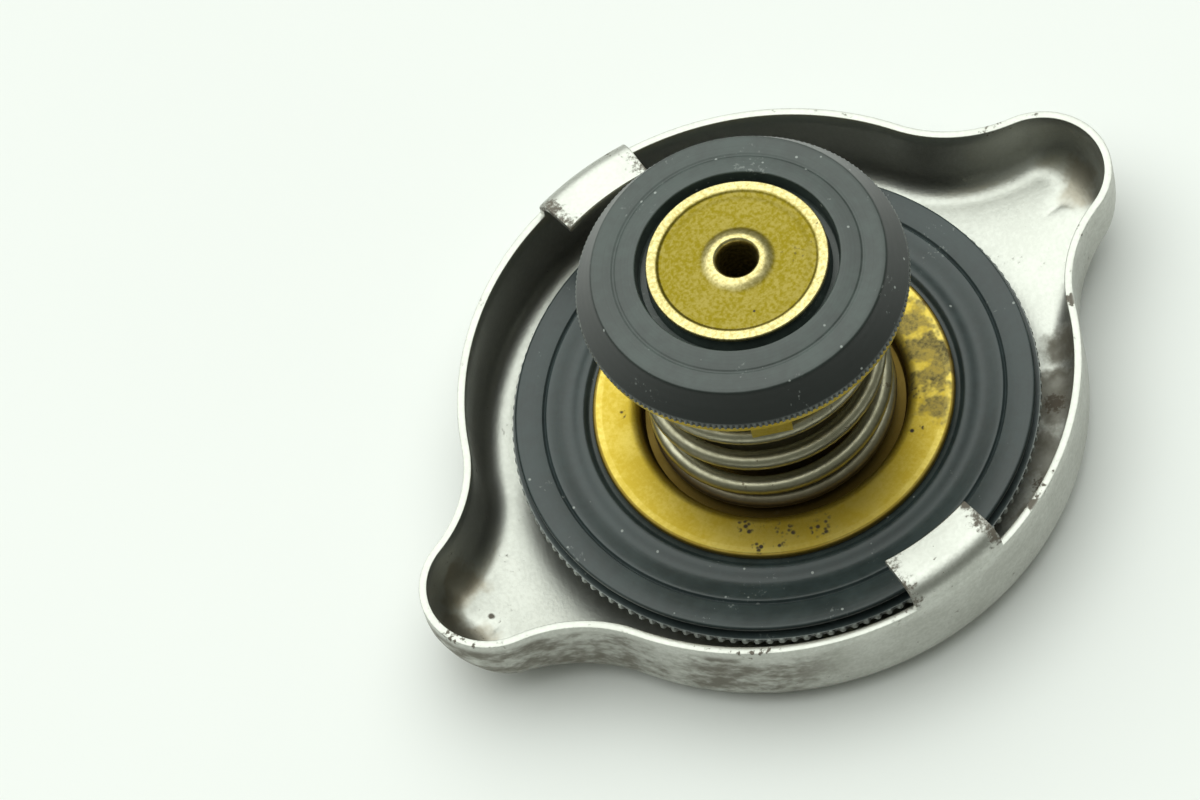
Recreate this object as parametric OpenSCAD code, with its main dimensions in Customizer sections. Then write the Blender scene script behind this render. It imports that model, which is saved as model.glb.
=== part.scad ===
// Radiator pressure cap, lying on its outer face with the valve pointing up.
// Z is the cap's axis, X runs through the two ears, Y through the two lock tabs.
// The origin is on the table under the middle of the cap; all lengths are millimetres.

/* [Shell] */
// Outside diameter of the round skirt
shell_d = 62.2; // [60:0.2:68]
// Axis to the tip of an ear
ear_reach = 41.8; // [40:0.2:46]
// Outside radius of the rounded ear tip
ear_r = 7.3; // [7.2:0.1:8.5]
// Radius of the hollow blend between skirt and ear
blend_r = 14.2; // [11:0.2:18]
// Thickness of the shell's sheet
sheet = 0.8; // [0.6:0.1:1.2]
// Height of the rim above the outer face
rim_h = 10.7; // [9.5:0.1:13]
// Outside radius of the bend between skirt and outer face
edge_r = 3.5; // [2.5:0.1:4.5]
// The same bend at the ear tips
ear_edge_r = 6.8; // [4.5:0.1:6.9]
// Length over which the bend opens out towards an ear's tip
ear_nose = 4.8; // [3:0.2:7]
// Axis to where the floor begins to climb into an ear
climb_start = 23.5; // [20:0.5:28]
// Climb of the floor from there to the middle of an ear's tip arc
ear_rise = 1.9; // [0:0.1:2.4]
// Diameter of the pressed-in seat at the middle of the outer face
seat_d = 22.4; // [18:0.2:26]
// Depth of that seat
seat_h = 2.9; // [2.3:0.1:3.6]

/* [Lock tabs] */
// Width of a lock tab at the rim
tab_w = 10.8; // [7:0.2:14]
// Width of a lock tab at its end
tab_end_w = 10; // [6:0.2:13]
// Axis to the hollow end of a tab
tab_reach = 25.9; // [24.5:0.1:27.5]
// Height of a tab's upper face above the rim
tab_rise = 2.6; // [1.6:0.1:4]
// Outside radius of a tab's bend
tab_bend = 2.2; // [1.2:0.1:3]
// Radius of the relief notch beside a tab
notch_r = 0.5; // [0.3:0.1:0.8]

/* [Swivel core] */
// Shank diameter of the centre rivet
rivet_d = 5.2; // [4:0.1:6.5]
// Head diameter of the rivet
rivet_head_d = 9.6; // [8:0.2:11]
// Head height of the rivet
rivet_head_h = 1.4; // [0.9:0.1:1.8]
// Thickness of the sprung disc behind the gasket
disc_t = 0.4; // [0.3:0.1:0.7]
// Diameter of the sprung disc
disc_d = 49; // [44:0.5:50]
// Diameter of the brass holder's flange
holder_d = 36.3; // [34.5:0.1:38]
// Sheet thickness of the holder
holder_t = 0.8; // [0.5:0.1:1]
// Depth of the holder's cup below its flange
cup_depth = 1.9; // [1.5:0.1:2.6]
// Gap between main spring and cup wall
cup_gap = 0.9; // [0.5:0.1:1.2]

/* [Neck gasket] */
// Diameter of the gasket's sealing face
gasket_d = 52; // [48:0.2:54]
// Diameter of the gasket's lower flange
gasket_flange_d = 53; // [49:0.2:55]
// Height of the lower flange
gasket_flange_h = 0.8; // [0.5:0.1:1]
// Sealing face below the top of the brass flange
gasket_drop = 0.4; // [0.2:0.05:0.6]
// Width of the flat outer band
band_w = 2.7; // [2:0.1:3.2]
// Height of the convex ring above the flat band
ring_rise = 0.2; // [0:0.05:0.4]

/* [Main spring] */
// Outside diameter of the main spring
spring_d = 24.8; // [24:0.1:26.4]
// Wire diameter
wire_d = 1.9; // [1.4:0.1:2.2]
// Length of the spring as shown
spring_len = 22.7; // [20:0.1:26]
// Turns between the closed ends
active_turns = 3.3; // [3:0.1:4.2]
// Turns in each closed end
end_turns = 1.1; // [0.5:0.05:1.25]
// Bearing of the wire's lower end
spring_turn = 120; // [-180:5:180]

/* [Valve guide] */
// Gap between guide tube and main spring
guide_gap = 0.75; // [0.4:0.05:1.2]
// Sheet thickness of guide tube and sleeve
guide_t = 0.5; // [0.4:0.05:0.7]
// Length of the guide tube below the valve plate
guide_len = 6.7; // [5.6:0.1:8]
// Width of the sleeve's stop lip
lip_w = 0.8; // [0.5:0.05:1.1]
// Sliding clearance between lip and guide tube
slide_gap = 0.05; // [0.02:0.01:0.1]

/* [Pressure valve] */
// Thickness of the valve plate
plate_t = 0.6; // [0.4:0.1:0.9]
// Diameter of the pressure seal
seal_d = 32.7; // [31.4:0.1:34]
// How far the valve plate stands inside the seal's edge
plate_inset = 0.15; // [0.05:0.05:0.4]
// Height of the seal's upright edge
seal_edge_h = 0.7; // [0.4:0.1:1]
// Height of the sealing land above the valve plate
seal_h = 3.45; // [3:0.05:4]
// Outside diameter of the sealing land
land_d = 28.9; // [28:0.1:30]
// Diameter where the raised inner ring begins
inner_ring_d = 24.2; // [23.2:0.1:25]
// Rise of the inner ring above the land
inner_ring_h = 0.25; // [0.1:0.05:0.4]
// Diameter of the recess round the vacuum valve
recess_d = 20.7; // [19.8:0.1:22]
// Floor of the recess above the valve plate
recess_floor = 2.4; // [1.8:0.1:2.8]
// Width of a spring claw
claw_w = 4; // [3:0.1:5]
// Length of a spring claw below the valve plate
claw_len = 5; // [2.5:0.1:5.5]
// Number of spring claws
claw_n = 3; // [2:1:4]
// Bearing of the first claw
claw_turn = -119; // [-180:1:180]

/* [Vacuum valve] */
// Diameter of the vacuum valve's disc
vac_d = 17.9; // [17:0.1:18.8]
// Sheet thickness of the vacuum valve
vac_t = 0.5; // [0.4:0.05:0.6]
// Underside of the disc's rim above the valve plate
vac_seat_h = 3.9; // [3.7:0.05:4.2]
// Depth of the groove inside the rim
vac_groove = 0.35; // [0.15:0.05:0.5]
// Height of the boss above the rim
boss_rise = 0.4; // [0.1:0.05:0.8]
// Diameter of the hole through boss and stem
vac_hole_d = 3.8; // [3:0.1:4.2]
// Clearance of the stem in the valve plate
stem_gap = 0.05; // [0.02:0.01:0.1]
// Length of the vacuum spring as shown
vac_spring_len = 5.6; // [4.8:0.1:6.4]
// Wire diameter of the vacuum spring
vac_wire_d = 0.6; // [0.4:0.05:0.7]
// Turns of the vacuum spring
vac_turns = 5; // [4:0.5:5.5]
// Thickness of the spring keeper
keeper_t = 0.5; // [0.4:0.1:0.8]

/* [Hidden] */
$fn = 96;

shell_r = shell_d / 2;
ear_x = ear_reach - ear_r;
rivet_r = rivet_d / 2;
rivet_head_r = rivet_head_d / 2;
swivel_gap = 0.05;
seat_slope = 3;
climb_curve = 1.4;
// How far a cutting shape runs past the face it cuts
over = 1;

// Heights of the clamped stack, from the shell's seat upwards
disc_z = seat_h + sheet;
holder_z = disc_z + disc_t;
cup_z = holder_z + holder_t;
flange_z = cup_z + cup_depth;
face_z = flange_z - gasket_drop;

// Heights of the valve
guide_z = cup_z + spring_len;
plate_z = guide_z + guide_t;
seal_z = plate_z + plate_t;
hook_z = guide_z - guide_len;
lip_z = hook_z + guide_t;
keeper_z = plate_z - vac_spring_len - keeper_t;

// Radii of the sliding guide, from the main spring inwards
spring_r = spring_d / 2;
cup_r = spring_r + cup_gap;
guide_ro = spring_r - wire_d - guide_gap;
guide_ri = guide_ro - guide_t;
lip_r = guide_ri - slide_gap;
sleeve_r = lip_r - lip_w;
hook_r = sleeve_r + 2 * slide_gap;
claw_r = spring_r + 1;

// Radii of the seal and the vacuum valve
seal_r = seal_d / 2;
vac_r = vac_d / 2;
stem_ri = vac_hole_d / 2;
stem_ro = stem_ri + vac_t;
vac_lip_r = vac_r - 0.35;
vac_lip_w = 0.55;
seal_bore_r = vac_lip_r - 1.7;
vac_spring_r = stem_ro * 1.6;
keeper_r = vac_spring_r * 1.2;
flow_r = 0.9;
flow_pcd_r = (vac_spring_r + seal_bore_r) / 2;

// Shell outline: arcs of ear, blend and skirt, joined where their tangents agree
blend_x = ((shell_r + blend_r) ^ 2 - (ear_r + blend_r) ^ 2 + ear_x ^ 2) / (2 * ear_x);
blend_y = sqrt((shell_r + blend_r) ^ 2 - blend_x ^ 2);
ear_turn = atan2(blend_y, blend_x - ear_x);
skirt_turn = atan2(blend_y, blend_x);
ear_steps = 9;
blend_steps = 10;
skirt_steps = 18;

// Eases from 0 to 1 with level ends
function ease(u) = u * u * (3 - 2 * u);

// Stations [r, z] joined by curves with level ends, n steps each
function eased(st, n) = concat(
    [for (k = [0 : len(st) - 2], i = [0 : n - 1]) let (u = i / n, a = st[k], b = st[k + 1])
        [a[0] + (b[0] - a[0]) * u, a[1] + (b[1] - a[1]) * ease(u)]],
    [st[len(st) - 1]]);

// One quarter of the outline as [x, y, outward bearing]
quarter = concat(
    [for (i = [0 : ear_steps - 1]) let (a = ear_turn * i / ear_steps)
        [ear_x + ear_r * cos(a), ear_r * sin(a), a]],
    [for (i = [0 : blend_steps - 1]) let (a = ear_turn + (skirt_turn - ear_turn) * i / blend_steps)
        [blend_x - blend_r * cos(a), blend_y - blend_r * sin(a), a]],
    [for (i = [0 : skirt_steps - 1]) let (a = skirt_turn + (90 - skirt_turn) * i / skirt_steps)
        [shell_r * cos(a), shell_r * sin(a), a]]);
quarter_n = len(quarter);

// The quarter mirrored to half a turn, then repeated on the other side
half = concat(quarter, [[0, shell_r, 90]],
    [for (i = [quarter_n - 1 : -1 : 1]) let (q = quarter[i]) [-q[0], q[1], 180 - q[2]]]);
outline = concat(half, [for (q = half) [-q[0], -q[1], q[2] + 180]]);
outline_n = len(outline);

// A point of the outline moved inwards and lifted
function inset(q, d, z) = [q[0] - d * cos(q[2]), q[1] - d * sin(q[2]), z];
// A point on a circle about the axis, on the bearing of a given point
function ring_point(p, r, z) = let (a = atan2(p[1], p[0])) [r * cos(a), r * sin(a), z];
// Bend radius at an outline point, opening out along an ear's nose
function bend_r(q) = edge_r + (ear_edge_r - edge_r) * max(0, 1 - (ear_reach - abs(q[0])) / ear_nose) ^ 2;
// Where the bend meets the floor
function foot(q) = inset(q, bend_r(q), 0);
// Height of the floor's underside, climbing along the ears
function floor_z(x) = ear_rise * (max(0, abs(x) - climb_start) / (ear_x - climb_start)) ^ climb_curve;

bend_steps = 5;
floor_steps = 3;
floor_r = shell_r - edge_r - 2.5;
seat_r = seat_d / 2;

// A circle about the axis with one point for each outline point
function seat_ring(r, z) =
    [for (i = [0 : outline_n - 1]) let (a = 360 * i / outline_n) [r * cos(a), r * sin(a), z]];

// Rings of one face of the sheet, from the rim to the pressed-in seat; s is the offset into the sheet
function sheet_rings(s) = concat(
    [[for (q = outline) inset(q, s, rim_h)]],
    [for (k = [0 : bend_steps]) let (a = 90 * k / bend_steps)
        [for (q = outline) let (r = bend_r(q))
            inset(q, r - (r - s) * cos(a), floor_z(foot(q)[0]) + r - (r - s) * sin(a))]],
    [for (k = [1 : floor_steps]) let (u = k / floor_steps)
        [for (q = outline) let (p = foot(q), m = p + (ring_point(p, floor_r, 0) - p) * u)
            [m[0], m[1], s + floor_z(m[0])]]],
    [seat_ring(seat_r + seat_slope + s * 0.4, s)],
    [seat_ring(seat_r + s * 0.4, s + seat_h)]);

// Two triangles between neighbouring rings a and b
function band(a, b) = [for (i = [0 : outline_n - 1], h = [0, 1])
    let (j = (i + 1) % outline_n)
    h == 0 ? [a * outline_n + i, a * outline_n + j, b * outline_n + j]
           : [a * outline_n + i, b * outline_n + j, b * outline_n + i]];

// The pressed sheet: outer rings, then inner rings, closed at the rim and across the seat
module pressed_sheet() {
    outer = sheet_rings(0);
    inner = sheet_rings(sheet);
    ring_n = len(outer);
    polyhedron(
        points = [for (g = [outer, inner], ring = g, p = ring) p],
        faces = concat(
            [for (k = [0 : ring_n - 2], t = band(k, k + 1)) t],
            [for (k = [0 : ring_n - 2], t = band(ring_n + k, ring_n + k + 1)) [t[0], t[2], t[1]]],
            [for (t = band(0, ring_n)) [t[0], t[2], t[1]]],
            [[for (i = [0 : outline_n - 1]) (ring_n - 1) * outline_n + i]],
            [[for (i = [outline_n - 1 : -1 : 0]) (2 * ring_n - 1) * outline_n + i]]));
}

// One lock tab on the +Y side: it stands on the rim, bends in, narrows and ends in an arc
module lock_tab() {
    grip = 0.06;
    r_out = shell_r - grip;
    r_in = shell_r - sheet + grip;
    t = r_out - r_in;
    root = 2;
    top = rim_h + tab_rise;
    end_y = sqrt(tab_reach ^ 2 - (tab_w / 2) ^ 2);
    intersection() {
        rotate_extrude($fn = 180)
            union() {
                translate([r_in, rim_h - root])
                    square([t, root + tab_rise - tab_bend]);
                translate([tab_reach, top - t])
                    square([r_out - tab_bend - tab_reach, t]);
                intersection() {
                    translate([r_out - tab_bend, top - tab_bend])
                        difference() {
                            circle(tab_bend, $fn = 64);
                            circle(tab_bend - t, $fn = 64);
                        }
                    translate([r_out - tab_bend, top - tab_bend])
                        square(tab_bend + over);
                }
            }
        linear_extrude(top + over)
            polygon([
                [-tab_w / 2, shell_r],
                [-tab_w / 2, shell_r - tab_bend],
                [-tab_end_w / 2, end_y],
                [tab_end_w / 2, end_y],
                [tab_w / 2, shell_r - tab_bend],
                [tab_w / 2, shell_r]]);
    }
}

module cap_shell() {
    notch_depth = 3;
    notch_x = tab_w / 2 + notch_r * 0.7;
    color([0.72, 0.73, 0.70])
    difference() {
        union() {
            pressed_sheet();
            for (side = [0, 180])
                rotate([0, 0, side])
                    lock_tab();
        }
        translate([0, 0, -over])
            cylinder(h = rim_h, r = rivet_r + swivel_gap, $fn = 64);
        for (side = [0, 180], x = [-1, 1])
            rotate([0, 0, side])
                translate([x * notch_x, shell_r - notch_depth, rim_h])
                    rotate([-90, 0, 0])
                        cylinder(h = notch_depth + over, r = notch_r, $fn = 32);
    }
}

module centre_rivet() {
    top_z = cup_z + guide_t;
    crown = 0.5;
    color([0.62, 0.62, 0.60])
    rotate_extrude()
        polygon([
            [0, seat_h - rivet_head_h],
            [rivet_head_r - crown, seat_h - rivet_head_h],
            [rivet_head_r, seat_h - rivet_head_h + crown],
            [rivet_head_r, seat_h],
            [rivet_r, seat_h],
            [rivet_r, top_z],
            [rivet_head_r, top_z],
            [rivet_head_r, top_z + rivet_head_h - crown],
            [rivet_head_r - crown, top_z + rivet_head_h],
            [0, top_z + rivet_head_h]]);
}

module spring_disc() {
    color([0.66, 0.67, 0.66])
    translate([0, 0, disc_z])
        difference() {
            cylinder(h = disc_t, d = disc_d, $fn = 180);
            translate([0, 0, -over])
                cylinder(h = disc_t + 2 * over, r = rivet_r);
        }
}

module neck_gasket() {
    face_r = gasket_d / 2;
    flange_r = gasket_flange_d / 2;
    bore_r = cup_r + holder_t + 0.2;
    neck_r = face_r - 0.7;
    clamp_z = flange_z - holder_t;
    clamp_r = holder_d / 2 + 0.2;
    band_r = face_r - band_w;
    step = 0.3;
    color([0.10, 0.11, 0.12])
    rotate_extrude($fn = 180)
        polygon(concat(
            [[bore_r, holder_z],
             [flange_r, holder_z],
             [flange_r, holder_z + gasket_flange_h],
             [neck_r, holder_z + gasket_flange_h],
             [neck_r, holder_z + gasket_flange_h + 0.25],
             [face_r, face_z - 0.55],
             [face_r, face_z - 0.2],
             [face_r - 0.25, face_z]],
            eased([
                [band_r, face_z],
                [band_r - 0.9, face_z - step],
                [(band_r + clamp_r) / 2, face_z + ring_rise],
                [clamp_r + 0.3, clamp_z]], 7),
            [[bore_r, clamp_z]]));
}

module valve_holder() {
    r = holder_d / 2;
    soft = min(0.3, holder_t * 0.4);
    bend = holder_t + 0.4;
    color([0.80, 0.66, 0.24])
    rotate_extrude($fn = 144)
        union() {
            polygon([
                [rivet_r, holder_z],
                [cup_r + holder_t, holder_z],
                [cup_r + holder_t, flange_z - holder_t],
                [r, flange_z - holder_t],
                [r, flange_z - soft],
                [r - soft, flange_z],
                [cup_r + bend, flange_z],
                [cup_r + bend * 0.3, flange_z - bend * 0.3],
                [cup_r, flange_z - bend],
                [cup_r, cup_z],
                [rivet_r, cup_z]]);
        }
}

module guide_sleeve() {
    lip_t = guide_t;
    color([0.70, 0.70, 0.66])
    rotate_extrude()
        polygon([
            [rivet_r, cup_z],
            [sleeve_r, cup_z],
            [sleeve_r, lip_z],
            [lip_r, lip_z],
            [lip_r, lip_z + lip_t],
            [sleeve_r - guide_t, lip_z + lip_t],
            [sleeve_r - guide_t, cup_z + guide_t],
            [rivet_r, cup_z + guide_t]]);
}

// A coil of round wire: mean radius, wire radius, list of [turn, height] stations, sides of the wire
module coil(mean_r, wire_r, path, sides) {
    n = len(path);
    polyhedron(
        points = [for (p = path, j = [0 : sides - 1])
            let (b = 360 * j / sides, r = mean_r + wire_r * cos(b))
            [r * cos(360 * p[0]), r * sin(360 * p[0]), p[1] + wire_r * sin(b)]],
        faces = concat(
            [[for (j = [0 : sides - 1]) j]],
            [for (i = [0 : n - 2], j = [0 : sides - 1], h = [0, 1])
                let (a = i * sides + j, b = i * sides + (j + 1) % sides)
                h == 0 ? [a, a + sides, b] : [b, a + sides, b + sides]],
            [[for (j = [sides - 1 : -1 : 0]) (n - 1) * sides + j]]));
}

// Height along a coil with closed ends: u turns from its foot, e end turns, a active turns,
// w wire diameter, h rise of the wire's middle line
function coil_z(u, e, a, w, h) =
    let (p = w * 1.04, climb = (h - 2 * e * p) / a)
    u < e ? u * p : u > e + a ? h - (2 * e + a - u) * p : e * p + (u - e) * climb;

module pressure_spring() {
    turns = active_turns + 2 * end_turns;
    steps = ceil(turns * 32);
    color([0.60, 0.58, 0.53])
    rotate([0, 0, spring_turn])
        coil(spring_r - wire_d / 2, wire_d / 2,
            [for (i = [0 : steps]) let (u = turns * i / steps)
                [u, cup_z + wire_d / 2 + coil_z(u, end_turns, active_turns, wire_d, spring_len - wire_d)]],
            12);
}

// The claw's inner face clears the spring; the claw hangs from the plate's underside
module claw() {
    translate([claw_r, -claw_w / 2, plate_z - claw_len])
        cube([plate_t, claw_w, claw_len + plate_t / 2]);
}

module valve_plate() {
    color([0.80, 0.66, 0.24])
    difference() {
        union() {
            translate([0, 0, plate_z])
                cylinder(h = plate_t, r = seal_r - plate_inset, $fn = 144);
            for (i = [0 : claw_n - 1])
                rotate([0, 0, claw_turn + 360 * i / claw_n])
                    claw();
        }
        translate([0, 0, plate_z - over])
            cylinder(h = plate_t + 2 * over, r = stem_ro + stem_gap, $fn = 48);
        for (i = [0 : 5])
            rotate([0, 0, 60 * i])
                translate([flow_pcd_r, 0, plate_z - over])
                    cylinder(h = plate_t + 2 * over, r = flow_r, $fn = 32);
    }
}

module valve_guide() {
    color([0.70, 0.70, 0.66])
    rotate_extrude()
        polygon([
            [hook_r, hook_z],
            [guide_ro, hook_z],
            [guide_ro, guide_z],
            [spring_r + 0.4, guide_z],
            [spring_r + 0.4, plate_z],
            [guide_ri, plate_z],
            [guide_ri, hook_z + guide_t],
            [hook_r, hook_z + guide_t]]);
}

module pressure_seal() {
    land_z = seal_z + seal_h;
    ring_z = land_z + inner_ring_h;
    ring_r = inner_ring_d / 2;
    recess_r = recess_d / 2;
    land_r = land_d / 2;
    lip_top = seal_z + vac_seat_h;
    floor_top = seal_z + recess_floor;
    soft = 0.2;
    color([0.10, 0.11, 0.11])
    rotate_extrude($fn = 180)
        polygon([
            [seal_bore_r, seal_z],
            [seal_r, seal_z],
            [seal_r, seal_z + seal_edge_h],
            [land_r, land_z - soft],
            [land_r - soft, land_z],
            [ring_r, land_z],
            [ring_r - inner_ring_h, ring_z],
            [recess_r + soft, ring_z],
            [recess_r, ring_z - soft],
            [recess_r - 0.15, floor_top],
            [vac_lip_r + 0.5, floor_top],
            [vac_lip_r, lip_top],
            [vac_lip_r - vac_lip_w, lip_top],
            [vac_lip_r - vac_lip_w - 0.4, floor_top],
            [seal_bore_r, floor_top]]);
}

module vacuum_valve() {
    rim_z = seal_z + vac_seat_h;
    rim_in = vac_lip_r - vac_lip_w - 0.15;
    end_z = keeper_z - 0.4;
    edge = 0.15;
    // Underside from the rim to the stem; the upper face follows it one sheet higher
    dip = rim_z - vac_groove;
    web = eased([
        [rim_in, rim_z],
        [rim_in - 0.7, dip],
        [rim_in - 1.7, dip + vac_groove * 0.45],
        [stem_ro + 2.1, dip + vac_groove * 0.2],
        [stem_ro, rim_z + boss_rise]], 6);
    mouth = [for (a = [0 : 15 : 90])
        [stem_ro - vac_t * cos(a), rim_z + boss_rise + vac_t * (2 * sin(a) - 1)]];
    color([0.82, 0.68, 0.26])
    rotate_extrude($fn = 128)
        polygon(concat(
            [[vac_r, rim_z]],
            web,
            [[stem_ro, keeper_z],
             [stem_ro + 0.5, keeper_z],
             [stem_ro + 0.5, end_z],
             [stem_ri, end_z]],
            mouth,
            [for (i = [len(web) - 2 : -1 : 0]) [web[i][0], web[i][1] + vac_t]],
            [[vac_r - edge, rim_z + vac_t],
             [vac_r, rim_z + vac_t - edge]]));
}

module vacuum_spring() {
    steps = ceil(vac_turns * 24);
    rise = vac_spring_len - vac_wire_d;
    color([0.66, 0.65, 0.62])
    coil(vac_spring_r, vac_wire_d / 2,
        [for (i = [0 : steps]) let (u = vac_turns * i / steps)
            [u, keeper_z + keeper_t + vac_wire_d / 2 + coil_z(u, 0.75, vac_turns - 1.5, vac_wire_d, rise)]],
        8);
}

module spring_keeper() {
    color([0.70, 0.70, 0.66])
    translate([0, 0, keeper_z])
        difference() {
            cylinder(h = keeper_t, r = keeper_r, $fn = 64);
            translate([0, 0, -over])
                cylinder(h = keeper_t + 2 * over, r = stem_ro);
        }
}

cap_shell();
centre_rivet();
spring_disc();
neck_gasket();
valve_holder();
guide_sleeve();
pressure_spring();
valve_plate();
valve_guide();
pressure_seal();
vacuum_valve();
vacuum_spring();
spring_keeper();
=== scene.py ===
"""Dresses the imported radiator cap: pressed shell, swivel core, both valves and a pale studio."""
import logging
import math
from dataclasses import dataclass
from enum import Enum
from typing import Callable, Sequence, Union

import bmesh
import bpy
from mathutils import Matrix, Vector


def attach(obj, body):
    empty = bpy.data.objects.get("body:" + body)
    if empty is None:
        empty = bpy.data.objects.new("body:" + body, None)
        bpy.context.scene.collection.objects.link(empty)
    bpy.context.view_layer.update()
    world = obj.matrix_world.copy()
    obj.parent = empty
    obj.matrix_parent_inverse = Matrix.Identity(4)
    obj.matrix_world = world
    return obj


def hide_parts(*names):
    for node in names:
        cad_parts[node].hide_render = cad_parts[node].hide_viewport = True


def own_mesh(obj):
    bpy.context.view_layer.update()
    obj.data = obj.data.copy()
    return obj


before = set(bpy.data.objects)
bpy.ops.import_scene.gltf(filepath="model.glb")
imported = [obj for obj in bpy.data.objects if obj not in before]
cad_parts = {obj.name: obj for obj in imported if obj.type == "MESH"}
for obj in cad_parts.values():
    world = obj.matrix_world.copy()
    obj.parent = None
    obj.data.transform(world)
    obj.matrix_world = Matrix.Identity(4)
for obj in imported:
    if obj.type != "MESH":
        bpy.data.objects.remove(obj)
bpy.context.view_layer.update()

log = logging.getLogger("radiator_cap")

MM = 0.001
TURN = 2.0 * math.pi
Point = tuple[float, float]
Point3 = tuple[float, float, float]
Colour = tuple[float, float, float]
Socket = bpy.types.NodeSocket
Feed = Union[Socket, float, Colour]


class Body(Enum):
    """The rigid bodies that pieces ride on."""

    SHELL = "shell"
    CORE = "core"
    PRESSURE = "pressure_valve"
    VACUUM = "vacuum_valve"


class Slot(Enum):
    """Material slot names that new pieces are passed with."""

    SHELL_ZINC = "shell_zinc"
    SPRING_STEEL = "spring_steel"
    GASKET_RUBBER = "gasket_rubber"
    SEAL_RUBBER = "seal_rubber"
    HOLDER_BRASS = "holder_brass"
    VALVE_BRASS = "valve_brass"


# Shaping


def ease(u: float) -> float:
    """Eases from 0 to 1 with level ends."""
    return u * u * (3.0 - 2.0 * u)


def arc(cx: float, cz: float, r: float, start: float, end: float, steps: int) -> list[Point]:
    """Points of an arc in the profile plane.

    Args:
        cx, cz: centre.
        r: radius.
        start, end: first and last bearing in degrees.
        steps: number of chords.

    Returns:
        The points from start to end, both included.
    """
    angles = [math.radians(start + (end - start) * i / steps) for i in range(steps + 1)]
    return [(cx + r * math.cos(a), cz + r * math.sin(a)) for a in angles]


def eased(stations: Sequence[Point], steps: int) -> list[Point]:
    """Joins profile stations by curves that are level at each station.

    Args:
        stations: [r, z] points where the curve is level.
        steps: chords between neighbours.

    Returns:
        The whole curve.
    """
    curve = []
    for (r0, z0), (r1, z1) in zip(stations, stations[1:]):
        for i in range(steps):
            u = i / steps
            curve.append((r0 + (r1 - r0) * u, z0 + (z1 - z0) * ease(u)))
    return curve + [stations[-1]]


def coil(mean_r: float, wire_r: float, foot: float, length: float, active: float, end: float,
         bearing: float) -> list[Point3]:
    """Middle line of a coil with closed ends.

    Args:
        mean_r: radius of the middle line.
        wire_r: radius of the wire.
        foot: height that the lowest turn rests on.
        length: height of the whole coil.
        active: turns between the closed ends.
        end: turns of each closed end.
        bearing: bearing of the wire's lower end in degrees.

    Returns:
        Points in millimetres, from the lower end up.
    """
    turns, rise, pitch = active + 2.0 * end, length - 2.0 * wire_r, 2.0 * wire_r * 1.04
    climb = (rise - 2.0 * end * pitch) / active
    path, count = [], int(turns * 56)
    for i in range(count + 1):
        u = turns * i / count
        z = min(u, end) * pitch + min(max(u - end, 0.0), active) * climb + max(u - end - active, 0.0) * pitch
        a = math.radians(bearing) + TURN * u
        path.append((mean_r * math.cos(a), mean_r * math.sin(a), foot + wire_r + z))
    return path


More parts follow.
